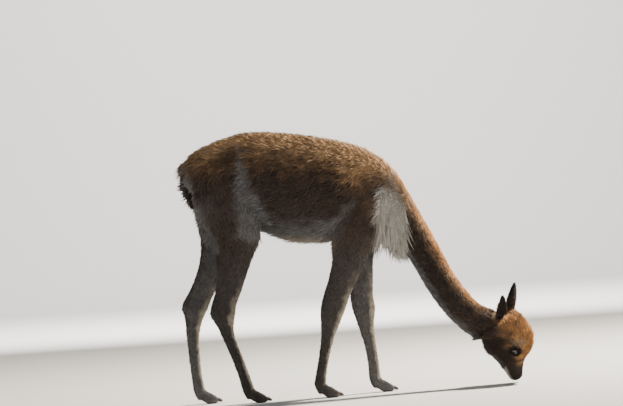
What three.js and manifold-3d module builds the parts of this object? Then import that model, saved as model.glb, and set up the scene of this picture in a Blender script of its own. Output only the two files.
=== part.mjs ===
// A life-size vicuna that stands and grazes, as a museum model.
// Millimetres, +Z up, +X the way the body faces, the floor at z = 0.
import * as THREE from "three";
import { mergeVertices } from "three/addons/utils/BufferGeometryUtils.js";
import Module from "manifold-3d";

const wasm = await Module();
wasm.setup();

// Driving dimensions
const GAP = 0.3; // between nodes that touch
const FORE_FEET_Y = 68; // of each forefoot's middle, from the body's middle plane
const HIND_FEET_Y = 80;
const EYE_RADIUS = 16.5;
const EAR_WIDTH = 33;
const EAR_ROOT = 26; // how far each ear's solid starts below the skin, before it is cut clear of the head
const FETLOCK_Z = 52; // where each cannon ends and its foot begins
const TOE_LENGTH = 66;
const TOE_SPREAD = 13.5; // of each toe's middle from the foot's middle
const TAIL_TIP_Z = 702; // of the longest hair there
const BIB_TIP_Z = 432;
const TRUNK_SIDES = 32;
const THIGH_SIDES = 20;
const LEG_SIDES = 16;
const TOE_SIDES = 10;
const HEAD_SIDES = 28;

const COAT = { cinnamon: 0xa9744a, fawn: 0xb08a63, cream: 0xd9cdb8, white: 0xe9e2d4 };
const DARK = { eye: 0x120d0b, nail: 0x2b2420, ear: 0x6b5140 };

// Small helpers for numbers, directions and solids
const radians = THREE.MathUtils.degToRad;
const vec = (x, y, z) => new THREE.Vector3(x, y, z);
const FRONT = vec(1, 0, 0);
const LEFT = vec(0, 1, 0);
const UP = vec(0, 0, 1);

function catmull(a, b, c, d, t) {
  const t2 = t * t;
  const t3 = t2 * t;
  return 0.5 * (2 * b + (c - a) * t + (2 * a - 5 * b + 4 * c - d) * t2 + (3 * b - a - 3 * c + d) * t3);
}

// A ring to loft through: its centre, its turn, and its half sizes up, down and to the side.
function ring(at, turn, up, down, side) {
  return { at, turn, up, down, side };
}

// The turn of a ring whose spine points at a slope above the horizon, in degrees.
function sloped(degrees) {
  return new THREE.Quaternion().setFromAxisAngle(LEFT, -radians(degrees));
}
const DOWNWARD = sloped(-90);

// Rings added smoothly between the given ones, so many for each span.
function smoothRings(keys, perSpan) {
  const made = [];
  const pick = (i) => keys[Math.min(Math.max(i, 0), keys.length - 1)];
  for (let i = 0; i < keys.length - 1; i++) {
    const near = [pick(i - 1), pick(i), pick(i + 1), pick(i + 2)];
    const steps = i === keys.length - 2 ? perSpan + 1 : perSpan;
    for (let s = 0; s < steps; s++) {
      const t = s / perSpan;
      const mix = (read) => catmull(...near.map(read), t);
      made.push(
        ring(
          vec(mix((k) => k.at.x), mix((k) => k.at.y), mix((k) => k.at.z)),
          near[1].turn.clone().slerp(near[2].turn, t),
          mix((k) => k.up),
          mix((k) => k.down),
          mix((k) => k.side),
        ),
      );
    }
  }
  return made;
}

function ringPoints(r, sides, grow = 0) {
  const side = LEFT.clone().applyQuaternion(r.turn);
  const up = UP.clone().applyQuaternion(r.turn);
  return Array.from({ length: sides }, (_, i) => {
    const angle = (2 * Math.PI * i) / sides;
    const height = Math.cos(angle) >= 0 ? r.up : r.down;
    return r.at
      .clone()
      .addScaledVector(side, (r.side + grow) * Math.sin(angle))
      .addScaledVector(up, (height + grow) * Math.cos(angle));
  });
}

// A closed surface through loops of points that match one another.
function skinOver(loops) {
  const sides = loops[0].length;
  const points = loops.flat();
  const middle = (loop) => loop.reduce((sum, p) => sum.add(p), vec(0, 0, 0)).divideScalar(sides);
  const first = points.push(middle(loops[0])) - 1;
  const last = points.push(middle(loops.at(-1))) - 1;
  const index = [];
  for (let r = 0; r < loops.length - 1; r++) {
    for (let i = 0; i < sides; i++) {
      const a = r * sides + i;
      const b = r * sides + ((i + 1) % sides);
      index.push(a, a + sides, b, b, a + sides, b + sides);
    }
  }
  const lastRing = (loops.length - 1) * sides;
  for (let i = 0; i < sides; i++) {
    const j = (i + 1) % sides;
    index.push(first, i, j);
    index.push(last, lastRing + j, lastRing + i);
  }
  return new THREE.BufferGeometry().setFromPoints(points).setIndex(index);
}

// A three.js geometry as a solid that can be joined and cut.
function solidOf(geometry) {
  const bare = geometry.clone();
  bare.deleteAttribute("normal");
  bare.deleteAttribute("uv");
  const merged = mergeVertices(bare, 1e-4);
  const made = new wasm.Manifold(
    new wasm.Mesh({
      numProp: 3,
      vertProperties: merged.attributes.position.array,
      triVerts: new Uint32Array(merged.index.array),
    }),
  );
  if (made.volume() >= 0) return made;
  for (let i = 0; i < merged.index.count; i += 3) {
    const b = merged.index.getX(i + 1);
    merged.index.setX(i + 1, merged.index.getX(i + 2));
    merged.index.setX(i + 2, b);
  }
  return solidOf(merged);
}

const loft = (rings, sides, grow = 0) => solidOf(skinOver(rings.map((r) => ringPoints(r, sides, grow))));

function ball(centre, radius, squash = vec(1, 1, 1), turn = new THREE.Quaternion(), detail = 14) {
  const g = new THREE.SphereGeometry(radius, detail, Math.ceil(detail * 0.6));
  g.applyMatrix4(new THREE.Matrix4().compose(centre, turn, squash));
  return solidOf(g);
}

function box(low, high) {
  const size = high.clone().sub(low);
  const g = new THREE.BoxGeometry(size.x, size.y, size.z);
  g.translate(...low.clone().add(high).divideScalar(2).toArray());
  return solidOf(g);
}

function largest(solid) {
  const pieces = solid.decompose();
  return pieces.reduce((best, p) => (p.volume() > best.volume() ? p : best));
}

function meshOf(name, solid, colour, roughness = 0.9) {
  const found = largest(solid).getMesh();
  const g = new THREE.BufferGeometry();
  const step = found.numProp;
  const flat = new Float32Array(found.numVert * 3);
  for (let i = 0; i < found.numVert; i++) {
    flat.set(found.vertProperties.subarray(i * step, i * step + 3), i * 3);
  }
  g.setAttribute("position", new THREE.BufferAttribute(flat, 3));
  g.setIndex(new THREE.BufferAttribute(new Uint32Array(found.triVerts), 1));
  g.computeVertexNormals();
  const mesh = new THREE.Mesh(g, new THREE.MeshStandardMaterial({ color: colour, roughness, metalness: 0 }));
  mesh.name = name;
  return mesh;
}

// Two runs of rings that meet at one ring, face to face and a gap apart.
function partedAt(rings, index) {
  const along = FRONT.clone().applyQuaternion(rings[index].turn);
  const moved = (by) => ({ ...rings[index], at: rings[index].at.clone().addScaledVector(along, by) });
  return [
    [...rings.slice(0, index), moved(-GAP / 2)],
    [moved(GAP / 2), ...rings.slice(index + 1)],
  ];
}

// The head stands in its own frame: its spine is local +X, its crown local +Z.
const HEAD = { at: vec(750, -14, 232), muzzle: vec(0.29, 0.32, -0.9), left: vec(0.5, 0.74, 0.45) };
const headX = HEAD.muzzle.clone().normalize();
const headZ = headX.clone().cross(HEAD.left).normalize();
const headY = headZ.clone().cross(headX);
const headTurn = new THREE.Quaternion().setFromRotationMatrix(
  new THREE.Matrix4().makeBasis(headX, headY, headZ),
);
const onHead = (x, y, z) => vec(x, y, z).applyQuaternion(headTurn).add(HEAD.at);

// Trunk: x and z of each ring's centre, its slope, and its half sizes up, down and to the side
const TORSO_KEYS = [
  [-310, 784, 30, 20, 30, 22], // rump end
  [-298, 779, 24, 62, 90, 74],
  [-268, 774, 14, 98, 114, 106],
  [-208, 771, 7, 136, 138, 134], // hips
  [-110, 766, 2, 169, 147, 146],
  [-30, 756, 0, 181, 166, 152], // loin and flank
  [70, 742, -2, 181, 187, 158], // ribs
  [170, 732, -4, 170, 184, 152],
  [255, 722, -8, 153, 171, 134],
  [325, 712, -18, 122, 158, 112], // withers over the shoulder
  [385, 688, -38, 80, 132, 88], // base of the neck
].map(([x, z, slope, up, down, side]) => ring(vec(x, 0, z), sloped(slope), up, down, side));

const NECK_KEYS = [
  [427, 622, -56, 66, 92, 66],
  [464, 560, -62, 60, 68, 57],
  [508, 478, -64, 55, 59, 52],
  [553, 386, -60, 52, 58, 50],
  [610, 298, -50, 51, 60, 50],
  [665, 242, -44, 50, 62, 52],
].map(([x, z, slope, up, down, side]) => ring(vec(x, 0, z), sloped(slope), up, down, side));

const NAPE = ring(vec(716, -4, 206), sloped(-46).slerp(headTurn, 0.25), 68, 66, 56);

const TORSO_STEPS = 3;
const trunkRings = smoothRings([...TORSO_KEYS, ...NECK_KEYS, NAPE], TORSO_STEPS);
const neckStart = (TORSO_KEYS.length - 1) * TORSO_STEPS;
const [torsoRings, pastTorso] = partedAt(trunkRings, neckStart);
const neckRings = partedAt([...pastTorso, NAPE], pastTorso.length - 1)[0];

const torsoSolid = loft(torsoRings, TRUNK_SIDES);
const neckSolid = loft(neckRings, TRUNK_SIDES);
const trunkCutter = loft(trunkRings, TRUNK_SIDES, GAP);
const behindRump = trunkCutter.translate([-2 * GAP, 0, 0]); // the steep end of the rump needs its gap behind it

// Head: x along the muzzle, z of the middle, and half sizes up, down and to the side
const headKeys = [
  [50, 0, 95, 94, 62], // forehead
  [80, 2, 98, 95, 63],
  [104, 0, 92, 91, 61], // eyes and angle of the jaw
  [134, -3, 79, 74, 50],
  [164, -12, 53, 52, 38],
  [195, -18, 38, 38, 31],
  [222, -22, 28, 26, 26], // lips
  [238, -22, 20, 20, 20],
  [244, -22, 9, 9, 9], // tip of the muzzle
].map(([x, z, up, down, side]) => ring(onHead(x, 0, z), headTurn, up, down, side));
const napeFront = partedAt([NAPE, NAPE], 0)[1][0];
const CROWN = ring(vec(727, -11, 201), NAPE.turn.clone().slerp(headTurn, 0.2), 102, 72, 60);
const headRings = smoothRings([napeFront, CROWN, ...headKeys], 3);
const headCutter = loft([NAPE, ...headRings], HEAD_SIDES, GAP);

const EYE = { x: 110, y: 41, z: 44 };
const LID_THICKNESS = 3.4;
const LID_OPENING = { top: 62, bottom: -18, length: 27 }; // angles above the side of the head, in degrees
const eyeAt = (x, hand) => onHead(x, hand * EYE.y, EYE.z);
const eyeCentre = (hand) => eyeAt(EYE.x, hand);

// The opening between the lids is a wedge from the eye's middle out, as long as the eye is from corner to corner.
function lidOpening(hand) {
  const reach = 60;
  const edge = (x, degrees) =>
    onHead(x, hand * (EYE.y + reach * Math.cos(radians(degrees))), EYE.z + reach * Math.sin(radians(degrees)));
  const ends = [-1, 1].map((end) => EYE.x + (end * LID_OPENING.length) / 2);
  return solidOf(
    skinOver(ends.map((x) => [eyeAt(x, hand), edge(x, LID_OPENING.top), edge(x, LID_OPENING.bottom)])),
  );
}

// The line of the mouth runs back from under the nose along each side of the muzzle.
function mouthCut() {
  const height = -31;
  const corner = 186;
  const front = 256;
  const rows = [
    [corner, 1],
    [front, 2.2],
  ];
  const loops = rows.map(([x, half]) =>
    [
      [-40, -half],
      [40, -half],
      [40, half],
      [-40, half],
    ].map(([y, z]) => onHead(x, y, height + z + (x - corner) * 0.06)),
  );
  const blade = solidOf(skinOver(loops));
  const keep = loft(
    smoothRings(
      headKeys.slice(4).map((k) => ({ ...k, up: k.up - 6, down: k.down - 6, side: k.side - 6 })),
      2,
    ).filter((k) => k.up > 3),
    LEG_SIDES,
  );
  return blade.subtract(keep);
}

function headSolid() {
  let head = loft(headRings, HEAD_SIDES);
  for (const hand of [-1, 1]) {
    const lids = ball(eyeCentre(hand), EYE_RADIUS + LID_THICKNESS).subtract(lidOpening(hand));
    head = head.subtract(ball(eyeCentre(hand), EYE_RADIUS + 1)).add(lids);
    head = head.subtract(ball(eyeCentre(hand), EYE_RADIUS + GAP));
    const nostril = headTurn.clone().multiply(new THREE.Quaternion().setFromAxisAngle(UP, hand * 0.5));
    head = head.subtract(ball(onHead(237, hand * 11, -11), 5, vec(1.5, 0.55, 0.9), nostril, 8));
  }
  const split = solidOf(
    skinOver(
      [232, 252].map((x) => [
        onHead(x, -0.8, -31),
        onHead(x, 0.8, -31),
        onHead(x, 1.2, -12),
        onHead(x, -1.2, -12),
      ]),
    ),
  );
  return head.subtract(mouthCut()).subtract(split);
}

// Ears: a leaf rolled into a cup, open to the front and side
const EARS = {
  right: { hand: -1, base: vec(756, -44, 218), tip: vec(766, -62, 312), open: -40 },
  left: { hand: 1, base: vec(787, 9, 250), tip: vec(817, 38, 347), open: -105 },
};

function earRings(ear) {
  const up = ear.tip.clone().sub(ear.base).normalize();
  const cup = headZ.clone().applyAxisAngle(up, -ear.hand * radians(ear.open));
  const across = up.clone().cross(cup).normalize();
  const back = across.clone().cross(up);
  const length = ear.tip.distanceTo(ear.base);
  const wall = 3.4;
  const arcSteps = 7;
  const half = radians(104);
  return Array.from({ length: 10 }, (_, i) => {
    const t = i / 9;
    const width = (EAR_WIDTH / 2) * Math.sin(Math.PI * (0.24 + 0.72 * t ** 1.2)) ** 0.8 + 0.6;
    const depth = width * (0.95 - 0.35 * t);
    const thick = wall * (1 - 0.55 * t);
    const lift = -EAR_ROOT + (length + EAR_ROOT) * t;
    const bend = -7 * t * t;
    const place = (aside, behind) =>
      ear.base
        .clone()
        .addScaledVector(up, lift)
        .addScaledVector(across, aside)
        .addScaledVector(back, bend - behind);
    const loop = [];
    for (let s = 0; s < arcSteps; s++) {
      const a = half * ((2 * s) / (arcSteps - 1) - 1);
      loop.push(place(width * Math.sin(a), depth * Math.cos(a)));
    }
    for (let s = arcSteps - 1; s >= 0; s--) {
      const a = half * ((2 * s) / (arcSteps - 1) - 1) * 0.97;
      const hollow = t > 0.3 ? 1 : 0.2; // the cup closes at its root
      loop.push(place((width - thick) * Math.sin(a), (depth - thick) * Math.cos(a) * hollow - (1 - hollow) * 8));
    }
    return loop;
  });
}

// Legs: z, x and y of each ring's centre, and its half sizes fore and aft and to the side
const rightHind = [
  [812, -196, 60, 60, 32],
  [740, -180, 77, 104, 57],
  [660, -156, 81, 106, 60],
  [590, -148, 80, 86, 53],
  [530, -154, 82, 69, 45],
  [460, -168, 83, 53, 38],
  [395, -186, 83, 46, 32],
  [345, -206, 82, 44, 29],
  [312, -211, 82, 43, 27], // hock
  [275, -205, 81, 29, 22],
  [235, -197, 80, 22, 18],
  [180, -178, 80, 20, 17],
  [110, -156, 80, 20, 17],
  [FETLOCK_Z, -141, HIND_FEET_Y, 23, 21],
];
const leftHind = [
  [812, -200, 60, 60, 32],
  [740, -190, 77, 104, 57],
  [660, -186, 82, 98, 60],
  [590, -192, 82, 82, 53],
  [530, -208, 84, 68, 45],
  [460, -243, 84, 54, 38],
  [400, -280, 84, 47, 32],
  [365, -302, 83, 49, 29],
  [340, -311, 82, 47, 27], // hock
  [300, -318, 81, 32, 22],
  [246, -326, 80, 23, 18],
  [190, -326, 80, 20, 17],
  [110, -323, 80, 19, 17],
  [FETLOCK_Z, -317, HIND_FEET_Y, 22, 21],
];
const rightFore = [
  [770, 285, 56, 56, 28],
  [700, 296, 71, 86, 41],
  [620, 284, 79, 84, 43],
  [545, 258, 77, 70, 41],
  [480, 243, 74, 60, 38],
  [415, 217, 71, 52, 36],
  [350, 187, 69, 47, 31],
  [302, 171, 68, 43, 29], // carpus
  [255, 159, 68, 33, 24],
  [215, 148, 68, 24, 18],
  [160, 134, 68, 19, 16],
  [100, 119, 68, 19, 16],
  [FETLOCK_Z, 109, FORE_FEET_Y, 22, 20],
];
const leftFore = [
  [770, 290, 56, 56, 28],
  [700, 302, 71, 84, 41],
  [620, 296, 79, 82, 43],
  [545, 280, 77, 66, 41],
  [480, 277, 74, 50, 38],
  [400, 280, 71, 40, 34],
  [340, 277, 69, 40, 30],
  [300, 281, 68, 41, 29], // carpus
  [258, 283, 68, 32, 24],
  [218, 287, 68, 25, 18],
  [165, 295, 68, 20, 16],
  [105, 301, 68, 20, 16],
  [FETLOCK_Z, 303, FORE_FEET_Y, 22, 20],
];

// Each leg's name, rings, side, and the rings at which the hock or carpus and the fetlock part it
const LEGS = [
  { name: "hind_right", rows: rightHind, hand: -1, joint: 8 },
  { name: "hind_left", rows: leftHind, hand: 1, joint: 8 },
  { name: "fore_right", rows: rightFore, hand: -1, joint: 7 },
  { name: "fore_left", rows: leftFore, hand: 1, joint: 7 },
];
const LEG_STEPS = 2;

// A foot is a pastern that forks into two padded toes, flat underneath, with a nail on each.
function footParts(leg, fetlock) {
  const { x, y } = fetlock.at;
  const toePath = (hand, scale = 1) =>
    [
      [-4, 0.35, FETLOCK_Z - 6, 17, 15],
      [12, 0.75, 32, 19, 13.5],
      [32, 1, 19, 21, 13],
      [50, 1.05, 12, 17, 12],
      [TOE_LENGTH - 4, 1.08, 8, 10, 9],
      [TOE_LENGTH, 1.08, 7, 5, 5],
    ].map(([ahead, spread, z, tall, wide]) =>
      ring(vec(x + ahead, y + hand * spread * TOE_SPREAD, z), sloped(-25), tall * scale, tall * scale, wide * scale),
    );
  const top = partedAt([fetlock, fetlock], 0)[1][0];
  const pastern = [top, ring(vec(x + 4, y, FETLOCK_Z - 16), sloped(-80), 22, 21, 21),
    ring(vec(x + 13, y, FETLOCK_Z - 32), sloped(-70), 18, 20, 20)];
  const ground = box(vec(-600, -300, -80), vec(600, 300, 0));
  const lid = box(vec(x - 60, y - 60, FETLOCK_Z - GAP / 2), vec(x + 60, y + 60, FETLOCK_Z + 60));
  let foot = loft(pastern, LEG_SIDES);
  const nails = [];
  for (const hand of [-1, 1]) {
    const toe = loft(toePath(hand), TOE_SIDES);
    foot = foot.add(toe);
    const tip = vec(x + TOE_LENGTH - 6, y + hand * TOE_SPREAD * 1.08, 12);
    const nail = [
      ring(tip.clone(), sloped(-12), 9, 7, 6.5),
      ring(tip.clone().add(vec(10, 0, -2)), sloped(-25), 7, 5, 5.5),
      ring(tip.clone().add(vec(19, 0, -6)), sloped(-38), 3, 2.5, 2.4),
    ];
    const toeCutter = loft(toePath(hand), TOE_SIDES, GAP);
    nails.push({ hand, solid: loft(nail, TOE_SIDES).subtract(toeCutter).subtract(ground) });
  }
  return { foot: foot.subtract(ground).subtract(lid), nails };
}

// Tail: a short brush that hangs against the rump
const TAIL_KEYS = [
  [-284, 866, -150, 16, 16, 20],
  [-304, 842, -112, 18, 16, 28],
  [-312, 804, -96, 16, 14, 32],
  [-308, 764, -84, 13, 14, 31],
  [-300, 730, -78, 10, 12, 23],
  [-294, TAIL_TIP_Z, -72, 3, 3, 8],
].map(([x, z, slope, up, down, side]) => ring(vec(x, 0, z), sloped(slope), up, down, side));

// Bib: a mass of long hair that hangs from the chest and the base of the neck
const BIB_KEYS = [
  [706, 402, 24, 40],
  [676, 407, 50, 72],
  [640, 406, 60, 84],
  [596, 402, 62, 84],
  [544, 396, 56, 74],
  [496, 392, 44, 54],
  [458, 390, 24, 27],
  [BIB_TIP_Z, 390, 6, 7],
].map(([z, x, fore, side]) => ring(vec(x, 0, z), DOWNWARD, fore, fore, side));

function buildVicuna() {
  const vicuna = new THREE.Group();
  const legSolids = LEGS.map((leg) => {
    const keys = leg.rows.map(([z, x, y, fore, side]) =>
      ring(vec(x, leg.hand * y, z), DOWNWARD, fore, fore, side),
    );
    const rings = smoothRings(keys, LEG_STEPS);
    const [upper, lower] = partedAt(rings, leg.joint * LEG_STEPS);
    return { leg, upper, lower, fetlock: keys.at(-1) };
  });

  vicuna.add(meshOf("torso", torsoSolid, COAT.cinnamon));
  vicuna.add(meshOf("neck", neckSolid, COAT.cinnamon));
  vicuna.add(meshOf("head", headSolid(), COAT.cinnamon));
  for (const [name, hand] of [["right", -1], ["left", 1]]) {
    vicuna.add(meshOf("eye_" + name, ball(eyeCentre(hand), EYE_RADIUS), DARK.eye, 0.1));
    const ear = solidOf(skinOver(earRings(EARS[name]))).subtract(headCutter).subtract(trunkCutter);
    vicuna.add(meshOf("ear_" + name, ear, DARK.ear));
  }

  const upperCutters = [];
  for (const { leg, upper, lower, fetlock } of legSolids) {
    const thigh = loft(upper, THIGH_SIDES).subtract(trunkCutter);
    upperCutters.push(loft(upper, THIGH_SIDES, GAP));
    vicuna.add(meshOf("leg_" + leg.name, thigh, COAT.fawn));
    const last = partedAt([...lower, fetlock], lower.length - 1)[0];
    vicuna.add(meshOf("cannon_" + leg.name, loft(last, LEG_SIDES), COAT.cream));
    const { foot, nails } = footParts(leg, fetlock);
    vicuna.add(meshOf("foot_" + leg.name, foot, COAT.cream));
    for (const nail of nails) {
      const place = nail.hand * leg.hand > 0 ? "outer" : "inner";
      vicuna.add(meshOf("nail_" + leg.name + "_" + place, nail.solid, DARK.nail, 0.5));
    }
  }

  const clearOfBody = (solid) =>
    upperCutters.reduce((rest, cutter) => rest.subtract(cutter), solid.subtract(trunkCutter));
  const tail = loft(smoothRings(TAIL_KEYS, 4), LEG_SIDES).subtract(behindRump);
  vicuna.add(meshOf("tail", clearOfBody(tail), COAT.fawn));
  vicuna.add(meshOf("bib", clearOfBody(loft(smoothRings(BIB_KEYS, 4), TRUNK_SIDES)), COAT.white));
  return vicuna;
}

// The part's origin is on the floor, under the middle of its bounding box.
function centred(vicuna) {
  const bounds = new THREE.Box3().setFromObject(vicuna);
  const middle = bounds.getCenter(vec(0, 0, 0));
  vicuna.position.set(-middle.x, -middle.y, -bounds.min.z);
  const part = new THREE.Group();
  part.add(vicuna);
  return part;
}

export default centred(buildVicuna());
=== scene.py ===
"""A life-size grazing vicuna: one skin over the frame's flesh, and a coat of solid tufts on it."""
import math

import bmesh
import bpy
import numpy as np
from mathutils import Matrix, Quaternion, Vector


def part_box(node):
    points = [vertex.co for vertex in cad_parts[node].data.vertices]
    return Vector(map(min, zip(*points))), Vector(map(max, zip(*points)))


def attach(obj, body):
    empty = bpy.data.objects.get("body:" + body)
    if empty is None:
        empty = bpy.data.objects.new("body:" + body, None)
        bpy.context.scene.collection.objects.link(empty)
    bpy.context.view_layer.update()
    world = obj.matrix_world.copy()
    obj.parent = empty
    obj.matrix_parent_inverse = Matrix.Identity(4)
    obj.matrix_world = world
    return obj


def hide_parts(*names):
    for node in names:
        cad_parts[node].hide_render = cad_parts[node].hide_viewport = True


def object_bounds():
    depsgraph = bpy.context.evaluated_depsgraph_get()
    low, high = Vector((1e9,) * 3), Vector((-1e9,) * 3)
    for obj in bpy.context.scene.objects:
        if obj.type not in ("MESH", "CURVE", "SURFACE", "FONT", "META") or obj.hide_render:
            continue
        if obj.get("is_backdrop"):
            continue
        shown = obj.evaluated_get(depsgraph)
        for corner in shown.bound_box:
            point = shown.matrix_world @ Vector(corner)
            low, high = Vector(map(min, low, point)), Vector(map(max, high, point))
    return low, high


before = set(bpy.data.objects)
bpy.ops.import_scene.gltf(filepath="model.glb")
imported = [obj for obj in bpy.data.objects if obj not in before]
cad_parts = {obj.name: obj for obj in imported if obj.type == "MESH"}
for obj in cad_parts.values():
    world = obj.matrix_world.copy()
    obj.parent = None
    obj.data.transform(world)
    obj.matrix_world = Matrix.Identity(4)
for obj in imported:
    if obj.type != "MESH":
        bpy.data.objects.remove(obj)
CAD_LOW, CAD_HIGH = (np.array(corner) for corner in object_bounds())

MM = 1000.0
TUFTS_A_SQUARE_METRE = 1e4 # for each one to a square centimetre

# The body's sizes are in millimetres. Their x has its own zero: the rearmost point of the solids is at REAR_X
REAR_X = -358.0
FRAME_X = CAD_LOW[0] * MM - REAR_X

# Each part's spine, from the tail's end forward and from the body outward: x, y, z and radius
SPINES = {
    "torso": [(-317, 0, 785, 60), (-210, 0, 772, 135), (-30, 0, 760, 160), (170, 0, 732, 165),
              (325, 0, 712, 130), (385, 0, 688, 105)],
    "neck": [(400, 0, 670, 90), (464, 0, 560, 62), (508, 0, 478, 56), (553, 0, 386, 54), (610, 0, 298, 54),
             (665, 0, 242, 56), (716, -4, 206, 60)],
    "head": [(735, -8, 212, 66), (771, 10, 162, 76), (790, 30, 115, 62), (800, 50, 62, 36),
             (800, 62, 22, 24)],
    "ear_right": [(756, -44, 218, 16), (766, -62, 312, 12)],
    "ear_left": [(789, 10, 256, 16), (817, 38, 347, 12)],
    "bib": [(404, 0, 700, 44), (405, 0, 640, 70), (398, 0, 572, 48), (394, 0, 548, 20)],
    "tail": [(-290, 0, 856, 22), (-312, 0, 800, 24), (-302, 0, 706, 14)],
    "hind_right": [(-180, -84, 740, 80), (-148, -80, 590, 66), (-168, -83, 460, 44), (-211, -82, 312, 32),
                   (-197, -80, 235, 20), (-156, -80, 110, 18), (-141, -80, 40, 22), (-95, -80, 12, 20)],
    "hind_left": [(-190, 84, 740, 80), (-192, 84, 590, 64), (-243, 84, 460, 44), (-311, 82, 340, 34),
                  (-326, 80, 246, 20), (-323, 80, 110, 18), (-317, 80, 40, 22), (-270, 80, 12, 20)],
    "fore_right": [(296, -76, 700, 60), (258, -80, 545, 54), (217, -71, 415, 42), (171, -68, 302, 34),
                   (148, -68, 215, 20), (119, -68, 100, 18), (109, -68, 40, 22), (155, -68, 12, 20)],
    "fore_left": [(302, 76, 700, 60), (280, 78, 545, 52), (280, 71, 400, 36), (281, 68, 300, 34),
                  (287, 68, 218, 21), (301, 68, 105, 18), (303, 68, 40, 22), (350, 68, 12, 20)],
}
PARTS = list(SPINES)
LEGS = ("hind_right", "hind_left", "fore_right", "fore_left")

# The coat on each part: a tuft's length, width, lift in degrees, and how many stand on a square centimetre
COATS = {
    "torso": (34, 5.8, 16, 5.4),
    "neck": (22, 4.6, 14, 7.5),
    "head": (20, 3.4, 25, 15.0),
    "ear_right": (7, 2.0, 8, 26.0),
    "ear_left": (7, 2.0, 8, 26.0),
    "bib": (24, 4.0, 12, 9.0),
    "tail": (24, 4.0, 5, 14.0),
    "hind_right": (13, 3.7, 12, 9.0),
    "hind_left": (13, 3.7, 12, 9.0),
    "fore_right": (13, 3.7, 12, 9.0),
    "fore_left": (13, 3.7, 12, 9.0),
}
# The mass under the chest's long hair: z and x of each ring's middle, half its length and half its width
BIB_CORE = ((706, 404, 20, 40), (676, 407, 46, 70), (640, 407, 55, 76), (604, 403, 52, 70),
            (572, 397, 38, 50), (548, 394, 12, 18))
# Hair lies against the order of these spines' points, and along the order of the others'
BACKWARD = ("torso", "neck", "head")

# In metres, but for the last
BODY_VOXEL = 0.004
HEAD_VOXEL = 0.0021
BODY_DEPTH = 0.005 # how far the skin lies inside the solids of the torso, neck and tail
LEG_DEPTH = 0.0015
FACE_DEPTH = 0.001
NECK_KEPT = 0.09 # the length of neck that the head's skin has too
COLLAR = 0.02 # how far behind the nape the coat of the head's skin takes over
COLLAR_OVERLAP = 0.003
EAR_GROWTH = 0.0009
LOWEST_HAIR = 0.0008 # above the floor
PATCH = 0.003 # the side of a tuft's patch, as a share of the sheet's

TUFTS_A_PIECE = 20000
COAT_SEED = 20


def place(x, y, z):
    """A spine's point in metres in the frame."""
    return np.array([x + FRAME_X, y, z]) / MM


def side_view(points):
    """The x and z of each point as the spines and streaks have them, in millimetres."""
    return points[:, 0] * MM - FRAME_X, points[:, 2] * MM


def unit(v):
    return v / np.maximum(np.linalg.norm(v, axis=-1, keepdims=True), 1e-9)


def smoothstep(low, high, value):
    t = np.clip((value - low) / (high - low), 0.0, 1.0)
    return t * t * (3.0 - 2.0 * t)


def ripple(points, scale, seed):
    """Smooth noise from -1 to 1, about one wave to each length of scale metres."""
    rng = np.random.default_rng(seed)
    total = np.zeros(len(points))
    for _ in range(7):
        direction = unit(rng.normal(size=3))
        rate = 2 * math.pi / scale * rng.uniform(0.6, 1.5)
        total += np.sin(points @ direction * rate + rng.uniform(0, 2 * math.pi))
    return np.clip(total / 3.2, -1.0, 1.0)


def nearest_on_spine(points, spine):
    """For each point: its distance over the spine's radius, how far along it is, the way, and the middle."""
    places = np.array([place(*p[:3]) for p in spine])
    radii = np.array([p[3] for p in spine]) / MM
    best = np.full(len(points), 1e9)
    along = np.zeros(len(points))
    way = np.zeros((len(points), 3))
    centre = np.zeros((len(points), 3))
    run = 0.0
    for a, b, ra, rb in zip(places[:-1], places[1:], radii[:-1], radii[1:]):
        step = b - a
        length = np.linalg.norm(step)
        t = np.clip(((points - a) @ step) / length**2, 0.0, 1.0)
        foot = a + t[:, None] * step
        ratio = np.linalg.norm(points - foot, axis=1) / (ra + (rb - ra) * t)
        closer = ratio < best
        best[closer] = ratio[closer]
        along[closer] = run + t[closer] * length
        way[closer] = step / length
        centre[closer] = foot[closer]
        run += length
    return best, along / run, way, centre


def survey(points):
    """How far each point belongs to each part, and where it lies along that part's spine."""
    found = {name: nearest_on_spine(points, SPINES[name]) for name in PARTS}
    ratios = np.stack([found[name][0] for name in PARTS], axis=1)
    weights = np.exp(-6.0 * (ratios - ratios.min(axis=1, keepdims=True)))
    weights /= weights.sum(axis=1, keepdims=True)
    return found, weights, ratios.argmin(axis=1)


def mesh_arrays(mesh):
    mesh.calc_loop_triangles()
    points = np.empty(len(mesh.vertices) * 3)
    mesh.vertices.foreach_get("co", points)
    triangles = np.empty(len(mesh.loop_triangles) * 3, dtype=np.int64)
    mesh.loop_triangles.foreach_get("vertices", triangles)
    return points.reshape(-1, 3), triangles.reshape(-1, 3)


def vertex_normals(mesh):
    normals = np.empty(len(mesh.vertices) * 3)
    mesh.vertices.foreach_get("normal", normals)
    return normals.reshape(-1, 3)


def apply_modifier(obj, kind, **settings):
    modifier = obj.modifiers.new(kind.title(), kind)
    for key, value in settings.items():
        setattr(modifier, key, value)
    bpy.context.view_layer.objects.active = obj
    bpy.ops.object.modifier_apply(modifier=modifier.name)


def joined_nodes(name, nodes):
    joined = bmesh.new()
    for node in nodes:
        joined.from_mesh(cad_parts[node].data)
    mesh = bpy.data.meshes.new(name)
    joined.to_mesh(mesh)
    joined.free()
    obj = bpy.data.objects.new(name, mesh)
    bpy.context.scene.collection.objects.link(obj)
    return obj


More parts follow.
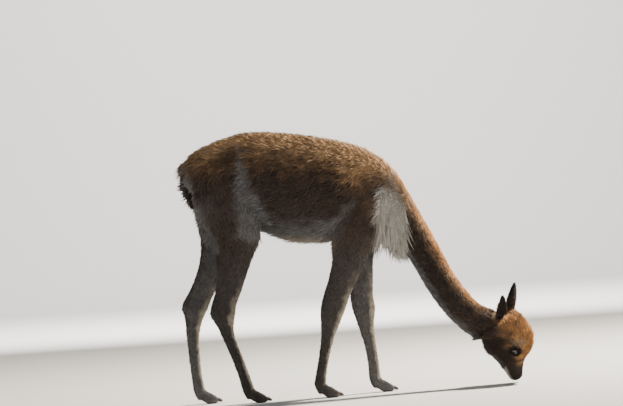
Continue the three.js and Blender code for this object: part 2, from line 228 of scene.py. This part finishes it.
def ellipse_loft(rings, sides=24):
    """A closed bmesh through level ellipses, given from the top down."""
    made = bmesh.new()
    loops = []
    for z, x, fore, side in rings:
        turns = np.linspace(0, 2 * math.pi, sides, endpoint=False)
        loops.append([made.verts.new(place(x + fore * math.cos(a), side * math.sin(a), z)) for a in turns])
    for upper, lower in zip(loops[:-1], loops[1:]):
        for i in range(sides):
            j = (i + 1) % sides
            made.faces.new((upper[i], lower[i], lower[j], upper[j]))
    made.faces.new(loops[0])
    made.faces.new(reversed(loops[-1]))
    return made


def settle(skin, voxel, rounds, depth_of):
    """Fuses what was joined into one closed surface, smooths it, and sinks it by its depth at each point."""
    apply_modifier(skin, "REMESH", mode="VOXEL", voxel_size=voxel, adaptivity=0.0)
    apply_modifier(skin, "SMOOTH", factor=0.5, iterations=rounds)
    points, _ = mesh_arrays(skin.data)
    points -= vertex_normals(skin.data) * depth_of(points)[:, None]
    skin.data.vertices.foreach_set("co", points.ravel())
    skin.data.polygons.foreach_set("use_smooth", np.ones(len(skin.data.polygons), dtype=bool))
    skin.data.update()
    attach(skin, "root")


def make_body_skin():
    """One closed skin through the body's flesh, with no seam, inside the solids by the coat's depth."""
    flesh = sorted(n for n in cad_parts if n.startswith(("torso", "neck", "leg_", "cannon_", "foot_")))
    skin = joined_nodes("body_skin", flesh + ["tail"])
    with_core = bmesh.new()
    with_core.from_mesh(skin.data)
    core = ellipse_loft(BIB_CORE)
    core_mesh = bpy.data.meshes.new("core")
    core.to_mesh(core_mesh)
    with_core.from_mesh(core_mesh)
    with_core.to_mesh(skin.data)
    core.free()
    with_core.free()

    def depth(points):
        _, weights, _ = survey(points)
        thick = np.array([BODY_DEPTH if name in ("torso", "neck", "tail") else LEG_DEPTH for name in PARTS])
        return (weights * thick).sum(axis=1) * smoothstep(0.0, 0.03, points[:, 2])

    settle(skin, BODY_VOXEL, 10, depth)
    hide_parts(*flesh, "tail", "bib")
    return skin


def make_head_skin():
    """The head, its ears and the top of the neck as one finer skin."""
    skin = joined_nodes("head_skin", ["neck", "head"])
    nape = place(*SPINES["neck"][-1][:3])
    cut = bmesh.new()
    cut.from_mesh(skin.data)
    way = Vector(unit(nape - place(*SPINES["neck"][-3][:3])))
    geometry = cut.verts[:] + cut.edges[:] + cut.faces[:]
    made = bmesh.ops.bisect_plane(cut, geom=geometry, plane_co=Vector(nape) - way * NECK_KEPT, plane_no=way,
                                  clear_inner=True)
    edges = [e for e in made["geom_cut"] if isinstance(e, bmesh.types.BMEdge)]
    bmesh.ops.contextual_create(cut, geom=edges)
    for name in ("ear_left", "ear_right"):
        cut.from_mesh(grown_copy(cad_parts[name].data, EAR_GROWTH))
    cut.to_mesh(skin.data)
    cut.free()
    settle(skin, HEAD_VOXEL, 5, head_depth)
    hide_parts("head", "ear_left", "ear_right")
    return skin


def grown_copy(mesh, by):
    """A mesh with its corners moved out, so that thin walls outlast the remesh."""
    made = mesh.copy()
    fused = bmesh.new()
    fused.from_mesh(made)
    bmesh.ops.remove_doubles(fused, verts=fused.verts, dist=1e-6)
    fused.normal_update()
    for vertex in fused.verts:
        vertex.co += vertex.normal * by
    fused.to_mesh(made)
    fused.free()
    return made


def head_depth(points):
    _, weights, _ = survey(points)
    neck = weights[:, PARTS.index("neck")]
    return FACE_DEPTH * (1.0 - ear_share(weights)) + (BODY_DEPTH - FACE_DEPTH - 0.0005) * neck


def ear_share(weights):
    return weights[:, PARTS.index("ear_right")] + weights[:, PARTS.index("ear_left")]


# Colours of the coat, linear. Some carry painted light or painted shade, as noted at each.
# The coat's brown with painted shade, for the parts that turn away from the light
SHADOW_BROWN = np.array([0.046, 0.031, 0.024])
BROWN = np.array([0.150, 0.092, 0.054])
# The coat's cinnamon with painted light, for the top of the back
LIT_GOLD = np.array([0.470, 0.290, 0.150])
# The coat's cinnamon with painted light, for the nape and the crown
LIT_ORANGE = np.array([0.440, 0.225, 0.090])
GREY = np.array([0.150, 0.148, 0.150])
LEG_GREY = np.array([0.075, 0.066, 0.062])
CREAM = np.array([0.500, 0.430, 0.340])
WHITE = np.array([0.740, 0.710, 0.660])
DARK = np.array([0.022, 0.017, 0.015])
EAR_BROWN = np.array([0.060, 0.042, 0.034])

# The head's own ways: along the muzzle and up through the crown
MUZZLE = unit(np.array([0.29, 0.32, -0.90]))
CROWN = unit(np.array([0.81, -0.58, 0.055]))
EYES = [np.mean(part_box(name), axis=0) for name in ("eye_right", "eye_left")]

# Pale streaks on the torso and thigh: x, z and half width of each point on their middle lines
FLANK_FOLD = ((-98, 900, 8), (-89, 830, 17), (-102, 715, 32), (-106, 611, 44))
THIGH_REAR = ((-293, 837, 12), (-288, 738, 14), (-244, 619, 17), (-219, 558, 20))
ELBOW_STREAK = ((281, 700, 9), (246, 640, 15), (190, 575, 24))
CHEST = ((380, 700, 26), (400, 650, 44), (392, 580, 42))


def blend(base, over, amount):
    return base + (over - base) * amount[:, None]


def streak(x, z, line):
    """From 1 on a streak's middle line to 0 a little past its half width."""
    nearest = np.full(len(x), 1e9)
    for (ax, az, aw), (bx, bz, bw) in zip(line[:-1], line[1:]):
        dx, dz = bx - ax, bz - az
        t = np.clip(((x - ax) * dx + (z - az) * dz) / (dx * dx + dz * dz), 0.0, 1.0)
        away = np.hypot(x - ax - t * dx, z - az - t * dz) / (aw + (bw - aw) * t)
        nearest = np.minimum(nearest, away)
    return 1.0 - smoothstep(0.45, 1.35, nearest)


def coat_colour(points, normals, found, weights):
    """The markings at each point, from where it lies on the body, with painted light and painted shade from
    which way the body faces there.
    """
    x, z = side_view(points)
    share = {name: weights[:, i] for i, name in enumerate(PARTS)}
    wave = ripple(points, 0.11, 3)
    fine = ripple(points, 0.035, 4)
    # How far each point faces up, lifted toward the shoulder: it sets where the torso has painted shade and
    # where painted light
    lit_tilt = normals[:, 2] + 0.14 * wave + 0.08 * fine + 0.30 * smoothstep(120, 330, x)
    torso = torso_colour(x, z, lit_tilt, wave, fine)
    neck = neck_colour(points, found["neck"], x, z, fine)
    head = head_colour(points, found["head"], fine)
    on_head = (share["head"] + share["ear_right"] + share["ear_left"])[:, None]
    colour = torso * share["torso"][:, None] + neck * share["neck"][:, None] + head * on_head
    colour = colour + leg_and_tail_colour(points, found, share, x, z, wave, fine)
    for name in ("ear_right", "ear_left"):
        ear = blend(np.tile(EAR_BROWN, (len(x), 1)), DARK, smoothstep(0.2, 0.9, found[name][1]))
        on_ear = smoothstep(1.5, 1.1, found[name][0]) * smoothstep(0.0, 0.08, found[name][1])
        colour = blend(colour, ear, on_ear)
    return colour * (1.0 + 0.10 * fine[:, None])


def neck_colour(points, spot, x, z, fine):
    """Orange along the nape as painted light, dark at the sides as painted shade, grey under the throat and
    white at the chest.
    """
    outward = unit(points - spot[3])
    dorsal = outward[:, 0] * 0.86 + outward[:, 2] * 0.5 + 0.10 * fine
    # Painted shade on the sides and painted light along the nape, by which way the neck faces there
    neck = blend(np.tile(SHADOW_BROWN * 1.15, (len(x), 1)), BROWN, smoothstep(0.1, 0.6, dorsal))
    neck = blend(neck, LIT_ORANGE, smoothstep(0.55, 0.93, dorsal))
    neck = blend(neck, GREY * 1.2, smoothstep(-0.6, -0.97, dorsal) * 0.8)
    base = 1.0 - smoothstep(440.0, 478.0, x + 0.12 * (690.0 - z) + 6.0 * fine)
    return blend(neck, WHITE * 0.6, base * (1.0 - smoothstep(0.5, 0.8, dorsal)))


def head_colour(points, spot, fine):
    """Orange over the crown as painted light, painted shade on the sides, dark at the cheeks and nose, pale
    at the chin, with a ring at each eye.
    """
    outward = unit(points - spot[3])
    crown = outward @ CROWN
    along = spot[1]
    # Painted shade on the sides of the head and painted light over the crown, by which way the head faces
    # there
    head = blend(np.tile(SHADOW_BROWN, (len(points), 1)), BROWN, smoothstep(0.30, 0.68, crown + 0.12 * fine))
    head = blend(head, LIT_ORANGE, smoothstep(0.55, 0.92, crown + 0.12 * fine))
    head = blend(head, GREY, smoothstep(-0.25, -0.8, crown) * smoothstep(0.2, 0.5, along))
    head = blend(head, DARK * 1.4, smoothstep(0.60, 0.85, along) * smoothstep(-0.3, 0.4, crown))
    head = blend(head, WHITE * 0.8, smoothstep(-0.35, -0.8, crown) * smoothstep(0.66, 0.84, along))
    head = blend(head, DARK, smoothstep(0.93, 1.0, along) * smoothstep(-0.1, 0.3, crown))
    for eye in EYES:
        brow = np.linalg.norm(points - eye - CROWN * 0.032 + MUZZLE * 0.020, axis=1)
        head = blend(head, CREAM * 0.6, smoothstep(0.028, 0.006, brow + 0.004 * fine) * 0.6)
        head = blend(head, DARK, smoothstep(0.030, 0.019, np.linalg.norm(points - eye, axis=1)))
    return head


def leg_and_tail_colour(points, found, share, x, z, wave, fine):
    """The share of the legs, the tail and the bib in the colour. The bib is greyer behind and below, as
    painted shade, and the tail is brown with painted shade.
    """
    # Painted shade: the bib's white goes grey behind and below
    behind = smoothstep(400.0, 350.0, x + 12.0 * fine) + smoothstep(640.0, 560.0, z + 14.0 * wave) * 0.6
    bib = blend(np.tile(WHITE * 0.5, (len(x), 1)), GREY * 1.3, np.minimum(behind, 1.0) * 0.8)
    # The tail is the brown with painted shade
    colour = bib * share["bib"][:, None] + SHADOW_BROWN * share["tail"][:, None]
    for name in LEGS:
        colour = colour + leg_colour(name, points, found[name], x, z, fine) * share[name][:, None]
    return colour


def torso_colour(x, z, lit_tilt, wave, fine):
    # Painted shade on the sides, going over to painted light on the top of the back
    torso = blend(np.tile(SHADOW_BROWN, (len(x), 1)), BROWN, smoothstep(0.10, 0.48, lit_tilt))
    torso = blend(torso, LIT_GOLD, smoothstep(0.42, 0.92, lit_tilt))
    belly_line = 622.0 + 115.0 * smoothstep(20.0, -65.0, x) + 12.0 * wave + 9.0 * fine
    belly = 1.0 - smoothstep(belly_line - 34.0, belly_line + 30.0, z)
    torso = blend(torso, GREY, belly * (1.0 - smoothstep(240.0, 300.0, x)))
    torso = blend(torso, CREAM * 0.7, 1.0 - smoothstep(548.0, 585.0, z + 6.0 * fine))
    for line in (FLANK_FOLD, THIGH_REAR, ELBOW_STREAK):
        strength = 0.85 - 0.45 * smoothstep(790.0, 900.0, z)
        torso = blend(torso, GREY, streak(x + 8.0 * fine, z, line) * strength)
    return blend(torso, WHITE * 0.85, streak(x + 8.0 * fine, z, CHEST) * (1.0 - smoothstep(0.45, 0.75, lit_tilt)))


def leg_colour(name, points, spot, x, z, fine):
    outer = 1.0 if name.endswith("left") else -1.0
    outward = unit(points - spot[3])
    inner_side = smoothstep(0.15, 0.8, -outer * outward[:, 1] + 0.15 * fine)
    lit_front = smoothstep(0.45, 0.9, outward[:, 0] + 0.1 * fine)
    low = 1.0 - smoothstep(250.0, 470.0, z)
    # Painted shade: the upper leg in the shaded brown, going to grey below
    leg = blend(np.tile(SHADOW_BROWN * 1.1, (len(z), 1)), LEG_GREY, 1.0 - smoothstep(430.0, 600.0, z))
    leg = blend(leg, GREY, inner_side * 0.55)
    # Painted highlight: a cream edge down the front of the lower leg, where it faces the light
    leg = blend(leg, CREAM, lit_front * low * 0.9)
    if name.startswith("hind"):
        for line in (FLANK_FOLD, THIGH_REAR):
            leg = blend(leg, GREY, streak(x + 8.0 * fine, z, line) * 0.8)
    else:
        leg = blend(leg, WHITE * 0.8, streak(x + 8.0 * fine, z, CHEST) * smoothstep(560.0, 600.0, z))
    return leg


def lie_of_coat(points, normals, found, weights):
    """The way that the hair points on each spot of the skin."""
    flow = np.zeros_like(points)
    for i, name in enumerate(PARTS):
        way = found[name][2]
        if name in BACKWARD:
            way = -way
        flow += way * weights[:, i : i + 1]
    torso_share = weights[:, PARTS.index("torso")]
    steep = 1.0 - np.abs(normals[:, 2])
    flow[:, 2] -= 0.75 * torso_share * steep
    swirl = ripple(points, 0.09, 11)
    side = np.cross(normals, flow)
    flow = flow + side * (0.28 * swirl)[:, None]
    flow -= normals * (flow * normals).sum(axis=1, keepdims=True)
    return unit(flow)


def unwrap(points, labels, found):
    """Each part unrolled round its own spine, side by side: the place of each point on that sheet."""
    u = np.zeros(len(points))
    v = np.zeros(len(points))
    shelf = 1.0 / len(PARTS)
    for i, name in enumerate(PARTS):
        mine = labels == i
        _, along, way, centre = (a[mine] for a in found[name])
        out = points[mine] - centre
        lead = np.array([0.0, 0.0, 1.0]) if name in ("torso", "neck") else np.array([1.0, 0.0, 0.0])
        lead = unit(lead - way * (way @ lead)[:, None])
        side = np.cross(way, lead)
        angle = np.arctan2((out * side).sum(axis=1), (out * lead).sum(axis=1))
        u[mine] = shelf * (i + 0.5 + 0.86 * angle / (2 * math.pi))
        v[mine] = 0.03 + 0.94 * along
    return np.stack([u, v], axis=1)


def uv_of_skin(mesh, points, labels, found):
    """The sheet of each face's own part, without a stretch where the sheet's edges meet."""
    uv = unwrap(points, labels, found)
    loops = np.empty(len(mesh.loops), dtype=np.int64)
    mesh.loops.foreach_get("vertex_index", loops)
    starts = np.empty(len(mesh.polygons), dtype=np.int64)
    mesh.polygons.foreach_get("loop_start", starts)
    totals = np.empty(len(mesh.polygons), dtype=np.int64)
    mesh.polygons.foreach_get("loop_total", totals)
    first = np.repeat(loops[starts], totals)
    placed = uv[loops]
    shelf = 1.0 / len(PARTS)
    jump = np.abs(placed[:, 0] - uv[first][:, 0]) > shelf * 0.4
    other_part = labels[loops] != labels[first]
    placed[jump | other_part] = uv[first][jump | other_part]
    layer = mesh.uv_layers.new(name="OFBake")
    layer.data.foreach_set("uv", placed.astype(np.float32).ravel())


def set_colours(mesh, colours):
    layer = mesh.color_attributes.new(name="Coat", type="FLOAT_COLOR", domain="POINT")
    rgba = np.ones((len(colours), 4), dtype=np.float32)
    rgba[:, :3] = np.clip(colours, 0.0, 1.0)
    layer.data.foreach_set("color", rgba.ravel())


def scatter(points, triangles, normals, density, rng):
    """Roots spread over the skin, as many to a square metre as each corner asks, and the way each faces."""
    corners = points[triangles]
    area = np.linalg.norm(np.cross(corners[:, 1] - corners[:, 0], corners[:, 2] - corners[:, 0]), axis=1) / 2
    expected = area * density[triangles].mean(axis=1)
    count = np.floor(expected + rng.random(len(expected))).astype(np.int64)
    face = np.repeat(np.arange(len(triangles)), count)
    a = np.sqrt(rng.random(len(face)))
    b = rng.random(len(face))
    mix = np.stack([1 - a, a * (1 - b), a * b], axis=1)
    roots = (corners[face] * mix[:, :, None]).sum(axis=1)
    facing = unit((normals[triangles[face]] * mix[:, :, None]).sum(axis=1))
    return roots, facing


# A tuft's rings of three corners, before its tip: how far along, and how thick
SHORT_TUFT = ((-0.12, 1.0), (0.42, 0.86))
LONG_TUFT = ((-0.04, 0.8), (0.22, 1.0), (0.48, 0.85), (0.75, 0.55))


def tuft_points(rings, roots, facing, flow, length, width, lift, curl, droop):
    """The corners of each tuft: it leaves its root along the lie, a little lifted, then curls and droops."""
    side = np.cross(facing, flow)
    size = length[:, None]
    rise = np.sin(lift)[:, None]
    ahead = np.cos(lift)[:, None]
    down = np.array([0.0, 0.0, -1.0])

    def middle(along):
        out = facing * (size * along * rise * (1.0 - 0.2 * along))
        bent = side * (curl * along * along)[:, None] + down * (droop * along * along)[:, None]
        return roots + flow * (size * along * ahead) + out + bent

    rows = []
    for along, thick in rings:
        half = (width * thick / 2)[:, None]
        at = middle(along) - facing * half * 0.25
        rows += [at - side * half, at + side * half, at + facing * half * 0.7]
    rows.append(middle(1.0))
    return np.stack(rows, axis=1)


def tuft_faces(rings):
    """Triangles of one tuft: the sides between its rings, and those that meet at its tip."""
    faces = []
    for ring in range(len(rings) - 1):
        for i in range(3):
            a, b = 3 * ring + i, 3 * ring + (i + 1) % 3
            faces += [(a, b, b + 3), (a, b + 3, a + 3)]
    top = 3 * (len(rings) - 1)
    tip = top + 3
    return np.array(faces + [(top + i, top + (i + 1) % 3, tip) for i in range(3)])


def tuft_mesh(name, rings, corners, colours, sheet, material):
    """One mesh of many tufts: the corners and colours of each, and its place on the sheet."""
    count, each = corners.shape[:2]
    mesh = bpy.data.meshes.new(name)
    faces = (tuft_faces(rings)[None] + each * np.arange(count)[:, None, None]).reshape(-1, 3)
    mesh.vertices.add(count * each)
    mesh.vertices.foreach_set("co", corners.ravel())
    mesh.loops.add(len(faces) * 3)
    mesh.loops.foreach_set("vertex_index", faces.ravel())
    mesh.polygons.add(len(faces))
    mesh.polygons.foreach_set("loop_start", np.arange(len(faces)) * 3)
    mesh.polygons.foreach_set("loop_total", np.full(len(faces), 3))
    mesh.update(calc_edges=True)
    mesh.polygons.foreach_set("use_smooth", np.ones(len(faces), dtype=bool))
    set_colours(mesh, colours.reshape(-1, 3))
    heights = [ring / len(rings) for ring in range(len(rings))]
    patch = [(across, height) for height in heights for across in (0.0, 1.0, 0.5)] + [(0.5, 1.0)]
    patch = (np.array(patch) - 0.5) * PATCH
    placed = (sheet[:, None, :] + patch[None]).reshape(-1, 2)[faces.ravel()]
    layer = mesh.uv_layers.new(name="OFBake")
    layer.data.foreach_set("uv", placed.astype(np.float32).ravel())
    obj = bpy.data.objects.new(name, mesh)
    bpy.context.scene.collection.objects.link(obj)
    mesh.materials.append(material)
    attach(obj, "root")
    return obj


def paint(skin, material):
    """Gives a skin its markings, its sheet and its material, and returns what the tufts on it need."""
    points, triangles = mesh_arrays(skin.data)
    normals = vertex_normals(skin.data)
    found, weights, labels = survey(points)
    set_colours(skin.data, coat_colour(points, normals, found, weights))
    uv_of_skin(skin.data, points, labels, found)
    skin.data.materials.clear()
    skin.data.materials.append(material)
    density = weights @ np.array([COATS[name][3] for name in PARTS]) * TUFTS_A_SQUARE_METRE
    density *= smoothstep(0.004, 0.02, points[:, 2])
    return points, triangles, normals, density


def past_collar(points):
    """How far each point lies past the ring of the neck where the head's skin takes over from the body's."""
    nape = place(*SPINES["neck"][-1][:3])
    way = unit(nape - place(*SPINES["neck"][-3][:3]))
    return (points - nape) @ way + COLLAR


def plan_coat(skins, material, rng):
    """Where the tufts of the short coat stand, over all the skins."""
    planned = []
    for skin, hand in zip(skins, (-1.0, 1.0)):
        points, triangles, normals, density = paint(skin, material)
        density *= past_collar(points) * hand > -COLLAR_OVERLAP
        planned.append(scatter(points, triangles, normals, density, rng))
    roots = np.concatenate([spots for spots, _ in planned])
    facing = np.concatenate([ways for _, ways in planned])
    return roots, facing


def grow_coat(skins, material):
    """Tufts over all the skins, in pieces of a size that exports well."""
    rng = np.random.default_rng(COAT_SEED)
    roots, facing = plan_coat(skins, material, rng)
    found, weights, labels = survey(roots)
    flow = lie_of_coat(roots, facing, found, weights)
    measure = weights @ np.array([COATS[name][:3] for name in PARTS])
    count = len(roots)
    fine = ripple(roots, 0.02, 5)
    _, z = side_view(roots)
    on_leg = weights[:, [PARTS.index(name) for name in LEGS]].sum(axis=1)
    on_torso = weights[:, PARTS.index("torso")]
    upper_leg = on_leg * smoothstep(380, 620, z)
    shaggy = 1.0 + 0.9 * upper_leg + 0.6 * on_torso * smoothstep(650, 560, z)
    along_head = found["head"][1]
    on_head = weights[:, PARTS.index("head")]
    short = 1.0 - on_head * (0.15 + 0.55 * smoothstep(0.30, 0.8, along_head))
    short = short - 0.45 * on_leg * smoothstep(160, 60, z)
    length = measure[:, 0] / MM * rng.uniform(0.65, 1.25, count) * (1 + 0.2 * fine) * shaggy * short
    width = measure[:, 1] / MM * rng.uniform(0.7, 1.3, count) * np.sqrt(shaggy) * short
    lift = np.radians(measure[:, 2]) * rng.uniform(0.4, 1.5, count)
    sway = np.cross(facing, flow)
    flow = unit(flow + sway * rng.normal(0.0, 0.22, count)[:, None])
    curl = length * rng.normal(0.0, 0.18, count)
    base = coat_colour(roots, facing, found, weights)
    shade = rng.uniform(0.72, 1.25, count)[:, None]
    woolly = on_torso * smoothstep(560, 640, z) + 0.5 * weights[:, PARTS.index("neck")] + 0.5 * on_head
    tip_gain = (1.2 + 1.1 * woolly * rng.uniform(0.0, 1.0, count))[:, None]
    tips = base * shade * tip_gain + 0.01
    colours = np.stack([base * shade * 0.6] * 3 + [base * shade] * 3 + [tips], axis=1)
    corners = tuft_points(SHORT_TUFT, roots, facing, flow, length, width, lift, curl, np.zeros(count))
    corners[:, :, 2] = np.maximum(corners[:, :, 2], LOWEST_HAIR)
    sheet = unwrap(roots, labels, found)
    order = np.argsort(labels, kind="stable")
    for number, start in enumerate(range(0, count, TUFTS_A_PIECE)):
        mine = order[start : start + TUFTS_A_PIECE]
        name = f"coat_{number:02d}"
        piece = tuft_mesh(name, SHORT_TUFT, corners[mine], colours[mine], sheet[mine], material)


# Long hair: name, slot, parts that bear it, tufts to a square centimetre, length, width and droop
LONG_HAIR = (
    ("bib_hair", "coat_white", ("bib",), 7.0, 104.0, 4.0, 20.0),
    ("tail_hair", "coat_cinnamon", ("tail",), 10.0, 54.0, 4.0, 8.0),
)
# About how low the tips of each reach
BIB_END = 446.0
TAIL_END = 690.0


def grow_long_hair(skin, material):
    """The long white hair of the chest and the hanging hair of the tail, over the short coat."""
    rng = np.random.default_rng(COAT_SEED + 1)
    points, triangles = mesh_arrays(skin.data)
    normals = vertex_normals(skin.data)
    _, _, labels = survey(points)
    for name, slot, parts, thickness, long, wide, droop in LONG_HAIR:
        bears = np.isin(labels, [PARTS.index(part) for part in parts])
        if name == "bib_hair":
            bears |= streak(*side_view(points), CHEST) > 0.35
        density = bears * thickness * TUFTS_A_SQUARE_METRE * 1.0
        roots, facing = scatter(points, triangles, normals, density, rng)
        found, weights, mine = survey(roots)
        _, z = side_view(roots)
        count = len(roots)
        down = np.tile([0.0, 0.0, -1.0], (count, 1))
        flow = unit(down - facing * (down * facing).sum(axis=1, keepdims=True) + facing * 0.05)
        flow = unit(flow + np.cross(facing, flow) * rng.normal(0.0, 0.16, count)[:, None])
        length = long / MM * rng.uniform(0.55, 1.15, count)
        if name == "bib_hair":
            length *= 0.45 + 0.55 * smoothstep(700, 600, z)
            length = np.minimum(length, (z - BIB_END) / MM * rng.uniform(0.75, 1.0, count))
        else:
            length = np.minimum(length, (z - TAIL_END) / MM * rng.uniform(0.85, 1.1, count))
        width = wide / MM * rng.uniform(0.6, 1.3, count)
        lift = np.radians(rng.uniform(1.0, 9.0, count))
        curl = length * rng.normal(0.0, 0.12, count)
        base = coat_colour(roots, facing, found, weights)
        shade = rng.uniform(0.8, 1.15, count)[:, None]
        rings = [base * shade * tone for tone in (0.7, 0.85, 1.0, 1.06)]
        colours = np.stack([tone for tone in rings for _ in range(3)] + [base * shade * 1.12], axis=1)
        sag = length * droop / long
        corners = tuft_points(LONG_TUFT, roots, facing, flow, length, width, lift, curl, sag)
        sheet = unwrap(roots, mine, found)
        piece = tuft_mesh(name, LONG_TUFT, corners, colours, sheet, material)


LASHES_AN_EYE = 16
LASH_WIDTH = 0.0011
LID_EDGE = 0.0185 # from the eye's middle, in metres
LID_HALF_LENGTH = 0.011


def grow_lashes(material):
    """Long dark lashes along the edge of each upper lid."""
    rng = np.random.default_rng(COAT_SEED + 2)
    roots, facing, flow = [], [], []
    for eye, hand in zip(EYES, (-1.0, 1.0)):
        side = unit(np.cross(CROWN, MUZZLE)) * hand
        for step in np.linspace(-1.0, 1.0, LASHES_AN_EYE):
            out = unit(side * 0.47 + CROWN * (0.88 - 0.15 * abs(step)))
            roots.append(eye + out * LID_EDGE + MUZZLE * LID_HALF_LENGTH * step)
            facing.append(unit(CROWN + side * 0.3))
            flow.append(unit(side + CROWN * 0.12 + MUZZLE * 0.45 * step))
    roots, facing, flow = (np.array(rows) for rows in (roots, facing, flow))
    count = len(roots)
    length = rng.uniform(0.012, 0.017, count)
    lift = np.radians(rng.uniform(-4.0, 8.0, count))
    width = np.full(count, LASH_WIDTH)
    corners = tuft_points(LONG_TUFT, roots, facing, flow, length, width, lift, np.zeros(count), length * 0.3)
    found, _, labels = survey(roots)
    colours = np.tile(DARK * 0.6, (count, 3 * len(LONG_TUFT) + 1, 1))
    lashes = tuft_mesh("lashes", LONG_TUFT, corners, colours, unwrap(roots, labels, found), material)


def hair_material(name, roughness, sheen):
    """Fur: the painted coat colour, mottled a little, with a soft sheen at its edges."""
    material = bpy.data.materials.new(name)
    material.use_nodes = True
    nodes = material.node_tree.nodes
    links = material.node_tree.links
    shader = nodes["Principled BSDF"]
    attribute = nodes.new("ShaderNodeAttribute")
    attribute.attribute_name = "Coat"
    noise = nodes.new("ShaderNodeTexNoise")
    noise.inputs["Scale"].default_value = 60.0
    noise.inputs["Detail"].default_value = 3.0
    coordinates = nodes.new("ShaderNodeTexCoord")
    ramp = nodes.new("ShaderNodeMapRange")
    ramp.inputs["To Min"].default_value = 0.78
    ramp.inputs["To Max"].default_value = 1.22
    scale = nodes.new("ShaderNodeVectorMath")
    scale.operation = "SCALE"
    links.new(coordinates.outputs["Object"], noise.inputs["Vector"])
    links.new(noise.outputs["Fac"], ramp.inputs["Value"])
    links.new(attribute.outputs["Color"], scale.inputs[0])
    links.new(ramp.outputs["Result"], scale.inputs["Scale"])
    links.new(scale.outputs["Vector"], shader.inputs["Base Color"])
    shader.inputs["Roughness"].default_value = roughness
    shader.inputs["Sheen Weight"].default_value = sheen
    shader.inputs["Sheen Roughness"].default_value = 0.4
    shader.inputs["Specular IOR Level"].default_value = 0.12
    return material


def plain_material(name, colour, roughness, coat=0.0):
    material = bpy.data.materials.new(name)
    material.use_nodes = True
    shader = material.node_tree.nodes["Principled BSDF"]
    shader.inputs["Base Color"].default_value = (*colour, 1.0)
    shader.inputs["Roughness"].default_value = roughness
    shader.inputs["Coat Weight"].default_value = coat
    return material


# In metres. The backdrop stands farther off than the camera, so that the object can be seen from behind
WALL_FOOT = 13.0
WALL_BEND = 3.0
WALL_TOP = 14.0
FLOOR_FRONT = -60.0
FLOOR_HALF_WIDTH = 40.0


def set_stage():
    """A plain pale floor that bends up into a backdrop, and soft light."""
    floor = bpy.data.meshes.new("floor")
    turns = np.linspace(0, math.pi / 2, 16)
    bend = [(WALL_FOOT + WALL_BEND * math.sin(a), WALL_BEND - WALL_BEND * math.cos(a)) for a in turns]
    sweep = [(FLOOR_FRONT, 0.0), *bend, (WALL_FOOT + WALL_BEND, WALL_TOP)]
    corners = [(x, y, z) for y, z in sweep for x in (-FLOOR_HALF_WIDTH, FLOOR_HALF_WIDTH)]
    faces = [(2 * i, 2 * i + 1, 2 * i + 3, 2 * i + 2) for i in range(len(sweep) - 1)]
    floor.from_pydata(corners, [], faces)
    floor.polygons.foreach_set("use_smooth", np.ones(len(faces), dtype=bool))
    ground = bpy.data.objects.new("floor", floor)
    bpy.context.scene.collection.objects.link(ground)
    ground.data.materials.append(plain_material("floor_paper", (0.66, 0.65, 0.63), 0.9))
    ground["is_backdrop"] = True

    world = bpy.data.worlds.new("studio")
    world.use_nodes = True
    world.node_tree.nodes["Background"].inputs["Color"].default_value = (0.86, 0.91, 1.0, 1.0)
    world.node_tree.nodes["Background"].inputs["Strength"].default_value = 0.16
    bpy.context.scene.world = world
    middle = Vector(place(120, 0, 620))
    on_wall = Vector((0.0, WALL_FOOT + WALL_BEND, 2.0))
    for name, spot, aim, power, size, tint in (
        ("key", (3.0, 1.9, 4.4), middle, 1250.0, 0.7, (1.0, 0.92, 0.80)),
        ("fill", (-2.5, -5.5, 3.0), middle, 40.0, 3.5, (0.93, 0.96, 1.0)),
        ("wall_light", (0.0, 7.0, 4.5), on_wall, 2200.0, 5.0, (1.0, 0.97, 0.94)),
    ):
        light = bpy.data.lights.new(name, "AREA")
        light.energy = power
        light.size = size
        light.color = tint
        lamp = bpy.data.objects.new(name, light)
        lamp.location = Vector(spot) + Vector((middle.x, 0.0, 0.0))
        lamp.rotation_euler = (aim - lamp.location).to_track_quat("-Z", "Y").to_euler()
        bpy.context.scene.collection.objects.link(lamp)
        lamp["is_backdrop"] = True


ROLL = 4.0
DISTANCE = 12.0
MM_A_PIXEL = 3.5
PHOTO_WIDTH = 623
SENSOR_WIDTH = 36.0
PHOTO_MIDDLE = (123.2, 0.0, 680.3)


def set_camera():
    """The photo's view: level with the animal's side, and rolled as the photo is."""
    data = bpy.data.cameras.new("camera")
    data.sensor_width = SENSOR_WIDTH
    data.lens = DISTANCE / (MM_A_PIXEL / MM * PHOTO_WIDTH) * data.sensor_width
    data.clip_end = 100.0
    camera = bpy.data.objects.new("camera", data)
    aim = Vector(place(*PHOTO_MIDDLE))
    camera.location = aim + Vector((0.0, -DISTANCE, 0.0))
    camera.rotation_mode = "QUATERNION"
    level = Vector((0.0, 1.0, 0.0)).to_track_quat("-Z", "Y")
    roll = Vector((0.0, 0.0, 1.0))
    camera.rotation_quaternion = level @ Quaternion(roll, math.radians(-ROLL))
    bpy.context.scene.collection.objects.link(camera)
    bpy.context.scene.camera = camera


set_camera()
set_stage()
fur = hair_material("fur", 0.8, 0.08)
body_skin = make_body_skin()
head_skin = make_head_skin()
grow_coat([body_skin, head_skin], fur)
grow_long_hair(body_skin, fur)
grow_lashes(fur)

looks = {
    "eye_": plain_material("wet_eye", (0.012, 0.008, 0.006), 0.06, coat=1.0),
    "nail_": plain_material("dark_horn", (0.05, 0.04, 0.032), 0.45),
}
for name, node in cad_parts.items():
    for kind, look in looks.items():
        if name.startswith(kind):
            node.data.materials.clear()
            node.data.materials.append(look)
